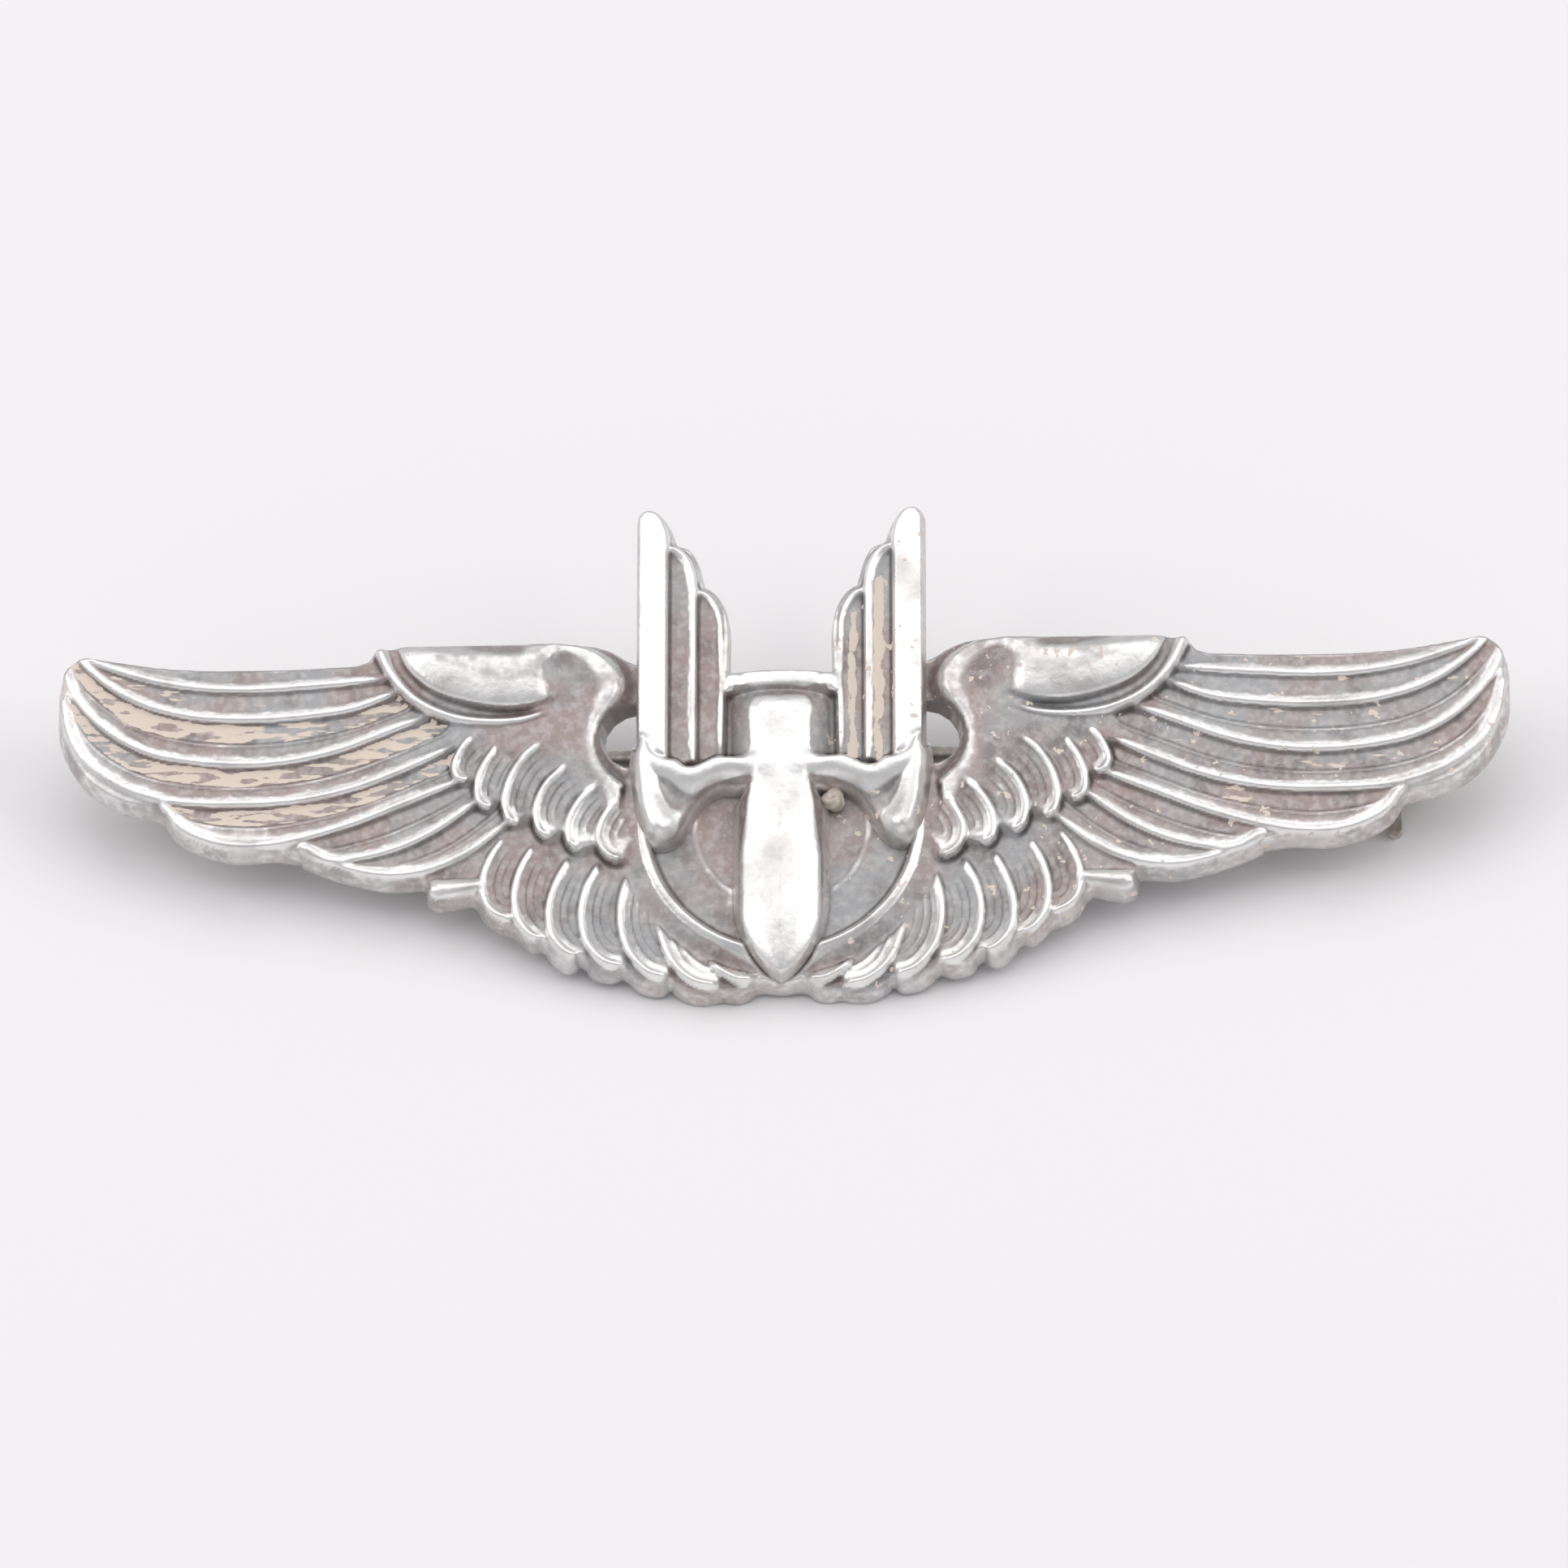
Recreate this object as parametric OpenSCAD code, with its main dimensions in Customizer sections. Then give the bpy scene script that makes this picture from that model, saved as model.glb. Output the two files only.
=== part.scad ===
// Wings badge with a winged bullet, worn on a pin: a struck wing plate, a device soldered on its face,
// and a hinged pin stem with a turning safety catch on its back. The face looks along +Z, the wings
// span X, and +Y is up on the badge. The origin is the middle of the bounding box's base.

/* [Wing plate] */
// Span of the badge from wing tip to wing tip
wing_span = 76.2; // [63.5:0.1:91.5]
// Height of the wings, from the shoulders' tops to the foot of the middle feathers
wing_h = 19.7; // [16.4:0.1:23.7]
// Thickness of the plate at its rim
plate_t = 1.6; // [1.3:0.05:2]
// Thickness of the plate under the ring and the winged bullet
floor_t = 1.1; // [0.9:0.05:1.25]
// Height of the ridges along the long feathers
ridge_h = 0.4; // [0.3:0.05:0.6]
// Width of the ridges along the long feathers
ridge_w = 0.55; // [0.4:0.05:0.7]
// Height of the lower row of short feathers above the plate
low_row_h = 0.35; // [0.2:0.05:0.5]
// Height of the upper row of short feathers above the plate
high_row_h = 0.75; // [0.5:0.05:0.95]
// Height of the rolled shoulder above the plate
shoulder_h = 1.2; // [1:0.05:1.5]
// Radius of the ring's crest
ring_r = 7.3; // [6.6:0.1:7.6]
// Radius of the ring's section
ring_bead_r = 0.8; // [0.6:0.05:0.9]

/* [Winged bullet] */
// Height of the small wings' tips above the ring's centre
device_top = 17.2; // [14.4:0.1:20.6]
// Thickness of the small wings at their tallest feather
device_t = 1.5; // [1.25:0.05:1.8]
// Height of the small wings' shoulders above the device's back
bulb_h = 2; // [1.7:0.05:2.4]
// Radius of the bullet at its widest
bullet_r = 2.43; // [2:0.05:2.6]
// How far the bullet's axis lies below the device's back
bullet_sink = 0.4; // [0.2:0.05:0.6]

/* [Pin] */
// Radius of the pin stem
stem_r = 0.45; // [0.38:0.01:0.5]
// Distance from the plate's back to the stem's axis
stem_gap = 2.6; // [2.4:0.05:3]
// Distance of the stem's axis below the wings' leading edge
stem_drop = 4; // [3.4:0.1:4.5]
// Distance of the hinge and of the catch from the wing tips
finding_inset = 6.1; // [5.1:0.1:8]
// Radius of the hinge rivet
rivet_r = 0.4; // [0.34:0.01:0.48]
// Radial clearance of the stem's eye on the rivet and of the rotor in the catch
running_gap = 0.05; // [0.03:0.01:0.08]

/* [Catch] */
// Outer radius of the catch body
catch_r = 1.9; // [1.8:0.05:2.1]
// Outer radius of the rotor
rotor_r = 1.25; // [1.2:0.01:1.3]
// Length of the lever from the rotor's axis
lever_l = 5; // [4.2:0.1:5.6]
// Turn of the lever from straight down, at rest
lever_angle = 88; // [80:1:95]

/* [Hidden] */

drawn_span = 76.2;
drawn_h = 19.7;
drawn_top = 17.2;
plate_top = 8.6;
plate_foot = -9.6;
small = 0.01;
round_fn = 64;

leading_edge_y = 9.1;
stem_y = leading_edge_y * wing_h / drawn_h - stem_drop;
finding_x = wing_span / 2 - finding_inset;

pin_way_r = stem_r + 0.27;
stem_z = sqrt(catch_r * catch_r - pin_way_r * pin_way_r);
back_z = stem_z + stem_gap;
floor_z = back_z + floor_t;
rim_z = back_z + plate_t;
middle_y = (device_top + plate_foot * wing_h / drawn_h) / 2;

ring_floor_r = ring_r - 0.6;

patch_r = 2.3;
patch_t = 0.4;
patch_z = back_z - patch_t;
solder_w = 0.45;

ear_t = 0.5;
ear_r = rivet_r + 0.75;
eye_r = rivet_r + running_gap + 0.5;
eye_w = 1.9;
ear_gap = eye_w + 2 * running_gap;
bracket_l = 3;
rivet_head_r = rivet_r + 0.3;
rivet_head_t = 0.3;
shank_x = finding_x - bracket_l / 2 - 0.7;
tip_r = 0.15;
neck_l = 1.4;

catch_l = 2.8;
catch_lip = 0.4;
taper_x = finding_x - catch_l / 2 - 1;
tip_x = finding_x + catch_l / 2 + 0.8;
rotor_l = catch_l - 2 * catch_lip - 2 * running_gap;
lever_w = 0.8;
lever_t = 0.5;
window_w = lever_w + 0.3;
lever_swing = 85;
foot_w = 2.6;

// Wing outlines are lists of points of the right-hand wing, from the ring's centre, in millimetres.
shoulder_top = [[7.6, 8.6], [8.7, 9.4], [10.4, 9.9], [14, 10.1], [20, 10], [21.2, 9.7], [21.4, 9.1]];
leading_edge = [[24, 9], [28.3, 8.9], [32.5, leading_edge_y], [36.6, 9.7]];
wing_tip = [[36.6, 9.7], [37.8, 8.6], [38.1, 6.6], [37.8, 4.4], [36.9, 3], [35.2, 1.9], [32.8, 1.2]];
feather_ends = [
    [[32.7, 1.1], [32, 0.1], [30.4, -0.8], [27.8, -1.1], [25.4, -0.8]],
    [[25.3, -1.1], [24.8, -1.6], [24.1, -1.8]],
    [[24, -2], [22.4, -2.6], [20.2, -2.9], [18.6, -2.6]],
    [[18.6, -3], [18.7, -3.8], [18.1, -4.2], [16, -4.1]],
    [[15.8, -4.4], [15.3, -5.2], [14.2, -5.6]],
    [[14.1, -5.7], [13.4, -6.5], [12.3, -6.9]],
    [[12.2, -6.9], [11.3, -7.5], [10.2, -7.8]],
    [[10.1, -7.7], [9.4, -8.1], [8.4, -8.2]],
    [[8.3, -8], [7.2, -8.8], [6, -9.1]],
    [[5.9, -9], [4.6, -9.4], [3.4, -9.5]],
    [[3.3, -9.3], [2.3, -9.4], [1.2, -9.3]],
];
long_ridges = [
    [[36.3, 9.2], [34.7, 8.7], [31.7, 7.9], [28.3, 7.5], [24.9, 7.7], [21.7, 8]],
    [[36.9, 8.4], [35.5, 7.8], [31.2, 6], [28.3, 5.7], [24.9, 5.9], [20.7, 7]],
    [[37.4, 7.2], [36.2, 6.1], [31.2, 3.8], [28.7, 3.3], [23.1, 4], [18.8, 5.6]],
    [[37.4, 4.8], [36.6, 3.4], [34.3, 2.1], [28.7, 1.3], [22.3, 2.1], [17.7, 3.9]],
    [[32.1, 0.5], [30.4, -0.5], [27.8, -0.8], [22.3, 0.4], [17.4, 2.3]],
    [[24.7, -1.3], [23.8, -1.6], [21.6, -1.6], [18, -0.2], [16.6, 0.9]],
    [[23.6, -2], [20.2, -2.6], [17.6, -2], [14.8, 0]],
];
high_row = [
    [[16.2, 5], [17.1, 4.1], [17.3, 3.1], [16.6, 2.3], [13, 4]],
    [[15, 4.5], [15.9, 3.1], [16.1, 1.9], [15, 0.9], [11, 3]],
    [[12.6, 4.6], [14.2, 3.1], [14.7, 1.5], [13.9, 0.1], [10, 1]],
    [[11.2, 3.4], [12.6, 2.1], [13, 0.5], [12.2, -0.9], [9, 0]],
    [[10.4, 3], [10.9, 1.2], [11.4, -0.1], [10.6, -1.6], [8.5, -1]],
    [[9.2, 1.8], [9.5, 0.5], [9.7, -0.6], [8.8, -2], [7.7, -1.5]],
];
low_row = [
    [[18.4, -3.1], [18.4, -3.7], [17.8, -3.9], [15.6, -3.6], [15.6, -2.8]],
    [[15, -0.8], [15.6, -2.1], [15.8, -3.4], [15.4, -4.6], [14.2, -5.3], [11, -2]],
    [[13.2, -1.3], [13.9, -2.6], [14.1, -4.2], [13.6, -5.6], [12.3, -6.6], [10, -3]],
    [[11.3, -2], [12, -3.3], [12.3, -4.9], [12, -6.3], [11.2, -7.1], [10.2, -7.5], [9, -4]],
    [[9.7, -2.3], [10.4, -3.6], [10.5, -5.2], [10.2, -6.7], [9.4, -7.6], [8.3, -7.9], [7.8, -4.2]],
    [[8.2, -3.6], [8.5, -4.4], [8.5, -5.8], [7.9, -7.4], [6.9, -8.4], [6, -8.8], [5.6, -7]],
    [[6.4, -6.4], [6.2, -7.2], [5.4, -8.4], [4.4, -9], [3.4, -9.2], [3, -8.4]],
    [[3.6, -8.3], [3.1, -8.7], [2.2, -9.1], [1.1, -9.1], [1, -8.5]],
];
shoulder_roll = [[10.7, 9.6], [20, 9.7], [20.6, 8.6], [19.4, 7], [17, 6], [14.2, 5.7], [11.6, 6.2],
                 [10.2, 7.6]];
loop_hole = [[7.7, 6.1], [8.8, 5.5], [9.3, 4.5], [9.2, 3.5], [8.6, 2.9], [7.7, 2.7]];

// Outlines of the winged bullet, from the ring's centre.
feather_step = 0.25;
small_feathers = [
    [[7.4, 4.3], [7.4, 15.9], [7.1, 16.9], [6.6, 17.2], [6.1, 16.8], [5.85, 15.9], [5.85, 4]],
    [[5.85, 4], [5.85, 15], [5.2, 15.3], [4.7, 14.8], [4.4, 14], [4.35, 3.6]],
    [[4.35, 3.6], [4.35, 12.6], [3.7, 12.8], [3.2, 12.2], [2.9, 11.2], [2.85, 3.4]],
];
bulb = [[7.8, 4.2], [7.9, 2.3], [7.6, -0.4], [7.1, -1.6], [5.9, -2.1], [4.8, -1.3], [3.7, 0.2],
        [2.6, 0.9], [2.6, 3.6]];
arc_top_y = 8.1;
arc_bottom_y = 7;
arc_half_w = 3;
web_half_w = 3;
web_foot_y = 0.6;
web_t = 0.5;
neck_r = 1.6;
neck_top_y = 7.1;
bullet_tip_y = -8.9;
bullet_wide_y = -4.4;
bullet_base_y = 1.4;
lump = [2.75, 1.1];
lump_r = 0.7;

function fitted(points) = [for (p = points) [p[0] * wing_span / drawn_span, p[1] * wing_h / drawn_h]];
function tall(points) = [for (p = points) [p[0], p[1] > 8 ? 8 + (p[1] - 8) * (device_top - 8)
                         / (drawn_top - 8) : p[1]]];
function between(a, b, c, d, t) = 0.5 * ((2 * b) + (c - a) * t + (2 * a - 5 * b + 4 * c - d) * t * t
                                  + (3 * b - a - 3 * c + d) * t * t * t);
// A smooth run through the points, in four steps from each point to the next
function smooth(p, last = 3) = [for (i = [0:len(p) - 2], k = [0:(i == len(p) - 2 ? 4 : last)])
    between(p[max(i - 1, 0)], p[i], p[i + 1], p[min(i + 2, len(p) - 1)], k / 4)];
function closed(p) = smooth(concat(p, [p[0]]));
function joined(runs) = [for (run = runs, p = smooth(run)) p];
function reversed(p) = [for (i = [len(p) - 1:-1:0]) p[i]];

module placed() { translate([0, -middle_y, 0]) children(); }
module both_sides() { children(); mirror([1, 0, 0]) children(); }
module at_stem(x) { translate([x, stem_y, stem_z]) rotate([0, 90, 0]) children(); }
module across(x) { translate([x, stem_y, stem_z]) rotate([90, 0, 0]) children(); }

// Half of the plate seen from the front, its round middle and loop hole included
module half_plate_2d() {
    difference() {
        polygon(concat(fitted([[0, plate_top]]), fitted(smooth(shoulder_top)),
                       fitted(smooth(leading_edge)), fitted(smooth(wing_tip)),
                       fitted(joined(feather_ends)), fitted([[1, plate_foot], [0, plate_foot]])));
        polygon(closed(loop_hole));
    }
}

module long_ridge(points) {
    edge = fitted(smooth(points));
    linear_extrude(plate_t + ridge_h)
        polygon(concat(edge, [for (p = reversed(edge)) p + [0, ridge_w]]));
}

module device_2d() {
    both_sides() {
        for (feather = small_feathers) polygon(tall(feather));
        polygon(closed(bulb));
    }
    translate([-web_half_w, web_foot_y]) square([2 * web_half_w, arc_top_y - web_foot_y]);
}

module wing_plate() {
    color("silver") placed() difference() {
        translate([0, 0, back_z]) {
            both_sides() {
                linear_extrude(plate_t) half_plate_2d();
                for (ridge = long_ridges) long_ridge(ridge);
                linear_extrude(plate_t + low_row_h) for (lobe = low_row) polygon(fitted(lobe));
                linear_extrude(plate_t + high_row_h) for (lobe = high_row) polygon(fitted(lobe));
                linear_extrude(plate_t + shoulder_h) polygon(fitted(closed(shoulder_roll)));
            }
            rotate_extrude($fn = round_fn) translate([ring_r, plate_t]) circle(ring_bead_r, $fn = 32);
        }
        translate([0, 0, floor_z]) cylinder(r = ring_floor_r, h = plate_t + shoulder_h, $fn = round_fn);
        translate([0, 0, floor_z]) linear_extrude(plate_t + shoulder_h) device_2d();
        bullet();
    }
}

// The bullet's neck, body and nose about its own axis, which points along -Y from the neck's top
module bullet_round() {
    rotate([90, 0, 0]) translate([0, 0, -neck_top_y]) rotate_extrude($fn = round_fn)
        polygon(concat([[0, 0], [neck_r, 0], [neck_r, neck_top_y - bullet_base_y],
                        [bullet_r, neck_top_y - bullet_base_y + 0.3]],
                       [for (k = [0:6]) let (t = k / 6) [bullet_r * sqrt(1 - t * t) + small * t,
                        neck_top_y - bullet_wide_y + t * (bullet_wide_y - bullet_tip_y)]],
                       [[0, neck_top_y - bullet_tip_y]]));
}

module bullet() {
    intersection() {
        translate([0, 0, floor_z - bullet_sink]) bullet_round();
        translate([-bullet_r, bullet_tip_y, floor_z])
            cube([2 * bullet_r, neck_top_y - bullet_tip_y, 2 * bullet_r]);
    }
}

module solder_lump() {
    translate([lump[0], lump[1], floor_z + web_t]) sphere(lump_r, $fn = 32);
}

module winged_bullet() {
    color("gainsboro") placed() difference() {
        union() {
            bullet();
            translate([0, 0, floor_z]) {
                both_sides() {
                    for (k = [0:2]) linear_extrude(device_t - feather_step * k)
                        polygon(tall(small_feathers[k]));
                    linear_extrude(bulb_h) polygon(closed(bulb));
                }
                translate([-web_half_w, web_foot_y, 0])
                    cube([2 * web_half_w, arc_top_y - web_foot_y, web_t]);
                translate([-arc_half_w, arc_bottom_y, 0])
                    cube([2 * arc_half_w, arc_top_y - arc_bottom_y, device_t - feather_step]);
            }
        }
        solder_lump();
    }
}

module device_solder() {
    color("lightgray") placed() intersection() {
        solder_lump();
        translate([lump[0] - lump_r, lump[1] - lump_r, floor_z]) cube(4 * lump_r);
    }
}

module patch(x) {
    translate([x, stem_y, patch_z]) cylinder(r = patch_r, h = patch_t, $fn = round_fn);
}

module solder_ring(x) {
    translate([x, stem_y, back_z]) rotate_extrude($fn = round_fn)
        polygon([[patch_r, 0], [patch_r + solder_w, 0], [patch_r, -patch_t]]);
}

module hinge_patch() { color("silver") placed() patch(-finding_x); }
module catch_patch() { color("silver") placed() patch(finding_x); }
module hinge_solder() { color("lightgray") placed() solder_ring(-finding_x); }
module catch_solder() { color("lightgray") placed() solder_ring(finding_x); }

// A folded strip: a base on the patch and two round-ended ears that hold the rivet
module hinge_bracket() {
    outer_w = ear_gap + 2 * ear_t;
    color("silver") placed() difference() {
        union() {
            translate([-finding_x - bracket_l / 2, stem_y - outer_w / 2, patch_z - ear_t])
                cube([bracket_l, outer_w, ear_t]);
            for (side = [-1, 1]) translate([0, side * (ear_gap + ear_t) / 2, 0]) {
                across(-finding_x) cylinder(r = ear_r, h = ear_t, center = true, $fn = round_fn);
                translate([-finding_x - ear_r, stem_y - ear_t / 2, stem_z])
                    cube([2 * ear_r, ear_t, patch_z - ear_t - stem_z]);
            }
        }
        across(-finding_x) cylinder(r = rivet_r, h = 2 * outer_w, center = true, $fn = round_fn);
    }
}

module hinge_rivet() {
    outer_w = ear_gap + 2 * ear_t;
    color("silver") placed() {
        across(-finding_x) cylinder(r = rivet_r, h = outer_w, center = true, $fn = round_fn);
        for (side = [-1, 1]) translate([0, side * (outer_w + rivet_head_t) / 2, 0]) across(-finding_x)
            cylinder(r = rivet_head_r, h = rivet_head_t, center = true, $fn = round_fn);
    }
}

// An eye on the rivet, a neck, a plain round shank and a long point that lies in the catch
module pin_stem() {
    color("gray") placed() difference() {
        union() {
            across(-finding_x) cylinder(r = eye_r, h = eye_w, center = true, $fn = round_fn);
            at_stem(-finding_x) cylinder(r = stem_r * 1.5, h = neck_l, $fn = round_fn);
            at_stem(-finding_x + neck_l) cylinder(r1 = stem_r * 1.5, r2 = stem_r,
                h = finding_x - shank_x - neck_l, $fn = round_fn);
            at_stem(-shank_x) cylinder(r = stem_r, h = shank_x + taper_x, $fn = round_fn);
            at_stem(taper_x) cylinder(r1 = stem_r, r2 = tip_r, h = tip_x - taper_x, $fn = round_fn);
        }
        across(-finding_x) cylinder(r = rivet_r + running_gap, h = 2 * eye_w, center = true,
            $fn = round_fn);
    }
}

// Seen along the rotor's axis: the space that the lever sweeps as it turns
module lever_way_2d() {
    reach = 2 * catch_r;
    slack = 14;
    polygon([[0, 0], for (k = [0:6]) let (a = lever_angle + slack - k * (lever_swing + 2 * slack) / 6)
             reach * [cos(a), -sin(a)]]);
}

module catch_body() {
    color("silver") placed() difference() {
        union() {
            at_stem(finding_x) cylinder(r = catch_r, h = catch_l, center = true, $fn = round_fn);
            translate([finding_x - catch_l / 2, stem_y - foot_w / 2, stem_z])
                cube([catch_l, foot_w, patch_z - stem_z]);
        }
        at_stem(finding_x) cylinder(r = rotor_r + running_gap, h = rotor_l + 2 * running_gap,
            center = true, $fn = round_fn);
        at_stem(finding_x) cylinder(r = pin_way_r, h = 2 * catch_l, center = true, $fn = round_fn);
        translate([finding_x - catch_l, stem_y - pin_way_r, stem_z - 2 * catch_r])
            cube([2 * catch_l, 2 * pin_way_r, 2 * catch_r]);
        at_stem(finding_x) linear_extrude(window_w, center = true) lever_way_2d();
    }
}

// A split sleeve with a lever on its side; at rest its slot faces down and lets the stem in
module catch_rotor() {
    color("silver") placed() {
        difference() {
            at_stem(finding_x) cylinder(r = rotor_r, h = rotor_l, center = true, $fn = round_fn);
            at_stem(finding_x) cylinder(r = pin_way_r, h = 2 * rotor_l, center = true, $fn = round_fn);
            translate([finding_x - catch_l, stem_y - pin_way_r, stem_z - 2 * catch_r])
                cube([2 * catch_l, 2 * pin_way_r, 2 * catch_r]);
        }
        at_stem(finding_x) rotate([0, 0, -lever_angle]) {
            translate([rotor_r - 0.3, -lever_t / 2, -lever_w / 2])
                cube([lever_l - rotor_r + 0.3 - lever_w / 2, lever_t, lever_w]);
            translate([lever_l - lever_w / 2, 0, 0]) rotate([90, 0, 0])
                cylinder(r = lever_w / 2, h = lever_t, center = true, $fn = round_fn);
        }
    }
}

wing_plate();
winged_bullet();
device_solder();
hinge_patch();
hinge_bracket();
hinge_rivet();
pin_stem();
catch_patch();
catch_body();
catch_rotor();
hinge_solder();
catch_solder();
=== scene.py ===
"""Looks of the wings badge: struck relief meshes for the plate and the winged bullet, worn silver
materials, a pale floor and soft light. Lengths in the shape tables are millimetres from the ring's
centre, X along the wing span and Y up on the badge; heights are above the back of the piece."""

import math

import bmesh
import bpy
import numpy as np
from mathutils import Matrix, Vector


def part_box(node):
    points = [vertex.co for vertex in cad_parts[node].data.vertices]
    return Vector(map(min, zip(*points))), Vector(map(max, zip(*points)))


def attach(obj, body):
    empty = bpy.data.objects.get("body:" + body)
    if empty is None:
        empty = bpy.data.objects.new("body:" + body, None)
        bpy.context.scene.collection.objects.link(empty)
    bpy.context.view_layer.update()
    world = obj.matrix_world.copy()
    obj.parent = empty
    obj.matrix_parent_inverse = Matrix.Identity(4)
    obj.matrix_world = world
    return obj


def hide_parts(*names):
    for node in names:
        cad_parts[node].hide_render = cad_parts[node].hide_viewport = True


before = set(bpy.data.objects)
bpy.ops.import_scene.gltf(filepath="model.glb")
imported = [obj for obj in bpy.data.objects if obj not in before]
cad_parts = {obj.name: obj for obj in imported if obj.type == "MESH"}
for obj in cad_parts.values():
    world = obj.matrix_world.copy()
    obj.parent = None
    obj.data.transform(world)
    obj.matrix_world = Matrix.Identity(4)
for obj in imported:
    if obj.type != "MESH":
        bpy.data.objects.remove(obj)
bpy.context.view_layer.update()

MM = 0.001

# ---------------------------------------------------------------- places taken from the CAD frame

PLATE_FOOT = -9.6
plate_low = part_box("wing_plate")[0]
RING_Y = plate_low.y - PLATE_FOOT * MM
PLATE_BACK = plate_low.z
DEVICE_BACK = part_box("winged_bullet")[0].z
CATCH_CLEAR = 0.15 * MM  # room left between the floor and the catch

# ---------------------------------------------------------------- the plate's shapes

PLATE_GRID = (38.3, -9.9, 10.9)  # half width, lowest and highest Y
PLATE_STEP = 0.1
WALL_RUN = (0.14, 0.06)  # side walls' spread for each millimetre of height; what a lower wall adds to it
LAND = 0.25  # upright strip at the foot of the wall
BASE_LEVEL = 1.4

TOP_FOOT = [[0, 7.8], [2.8, 7.8], [3.4, 8.6], [7.2, 9], [8, 9.3], [8.7, 9.75], [9.6, 10], [11, 10.08],
            [14, 10.1], [18, 10.1], [20.6, 10.05], [21.4, 9.9], [21.8, 9.45]]
LEADING_FOOT = [[22.4, 9.25], [25, 9.15], [28.3, 9.1], [32.5, 9.3], [35, 9.65], [36.7, 9.9]]
TIP_FOOT = [[36.7, 9.9], [37.3, 9.65], [37.8, 9.1], [38.05, 8.2], [38.09, 7], [37.95, 5.2], [37.5, 4.1],
            [36.4, 2.6], [34.7, 1.5], [32.6, 0.95]]
LOBE_FEET = [
    [[32.4, 0.8], [31.9, 0], [30.4, -0.95], [28.7, -1.4], [26.5, -1.35], [25.2, -1.55]],
    [[25.1, -1.7], [24.1, -2.15], [22.3, -2.75], [20.6, -3.1], [18.7, -3.05]],
    [[18.6, -3.3], [18.5, -3.9], [18, -4.25], [17.2, -4.15], [16.2, -3.95]],
    [[15.9, -4.2], [15.5, -4.9], [14.9, -5.4], [14.2, -5.65]],
    [[14, -5.75], [13.5, -6.3], [13, -6.6], [12.6, -6.5]],
    [[12.35, -6.65], [12.1, -7.05], [11.7, -7.5], [11.2, -7.75], [10.8, -7.65], [10.5, -7.4]],
    [[10.2, -7.6], [9.9, -8.05], [9.4, -8.25], [8.8, -8.3], [8.3, -8.1]],
    [[8, -8.3], [7.4, -8.85], [6.8, -9.05], [6.2, -9.05], [5.8, -8.75]],
    [[5.6, -9], [4.9, -9.45], [4, -9.6], [3.2, -9.45]],
    [[3, -9.45], [2.3, -9.55], [1.7, -9.35], [1.4, -9.1], [0, -9.1]],
]
LOOP_HOLE = [[7.4, 6.6], [8.2, 6.4], [8.8, 6], [9.2, 5.4], [9.3, 4.8], [9.15, 4.2], [8.7, 3.7],
             [8.1, 3.4], [7.4, 3.3]]

# Free edges of the long feathers, from the shoulder to the tip, and the top edge above the first.
LONG_TOP = [[21.4, 9.3], [24, 9.1], [28.3, 9], [32.5, 9.2], [36.9, 10.3]]
LONG_EDGES = [
    [[20.8, 8.1], [21.7, 8], [24.9, 7.75], [28.3, 7.6], [31.7, 7.9], [34.7, 8.7], [36.3, 9.4],
     [37.2, 10.2]],
    [[20.2, 7.3], [22.3, 6.5], [24.9, 6.1], [28.3, 5.95], [31.2, 6.2], [33.8, 7], [35.7, 8.2],
     [36.9, 9.4], [37.5, 10.4]],
    [[18.4, 6], [20.6, 5.15], [23.1, 4.2], [26.1, 3.55], [28.7, 3.45], [31.2, 3.7], [33, 4.1],
     [35.4, 5.4], [37.2, 7.4], [38, 9]],
    [[17, 4.3], [19.7, 3.05], [22.3, 2.05], [25.3, 1.4], [28.7, 1.25], [32.1, 1.5], [34.8, 2.45],
     [36.8, 4.1], [37.6, 5.7], [37.95, 7.2]],
    [[16.4, 2.5], [19.7, 1.15], [22.3, 0.1], [24.9, -0.65], [27.8, -1.1], [30, -0.75], [31.6, 0.1],
     [32.6, 1.6]],
    [[15.6, 1.4], [18, -0.35], [19.7, -1.2], [21.9, -1.8], [23.8, -1.9], [25, -1.2]],
    [[14, 0.2], [16.3, -1.6], [18, -2.4], [20.2, -2.8], [22.3, -2.5], [24, -1.7]],
]
LONG_LEVEL = 1.42
LONG_RIDGE = 0.28  # the ridge's rise over the hollow
LONG_CREST = 0.15  # from the free edge in to the ridge's crest
LONG_FLANK = 0.33  # how far the ridge runs out into the hollow
LONG_DIRT = [0.2, 0.7, 1.05, 1.0, 1.05, 0.35, 0]  # how much dried polish each long feather holds
LONG_ROOT = [[37, 12], [12, 9.5]]  # closes each long feather beyond the tip and at the shoulder
RIBBED_FROM = 2  # the long feathers above this one are too narrow for a midrib
RIB_ROOM = (1.2, 1.8)  # the feather's width where a midrib starts, and where it is whole
RIB_RISE = 0.11
RIB_WIDTH = 0.1
RIB_STEP = 0.07  # how much lower the far side of the midrib lies
LINE_GAP = 0.13  # from a rib to the engraved line beside it
LINE_WIDTH = 0.07

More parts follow.
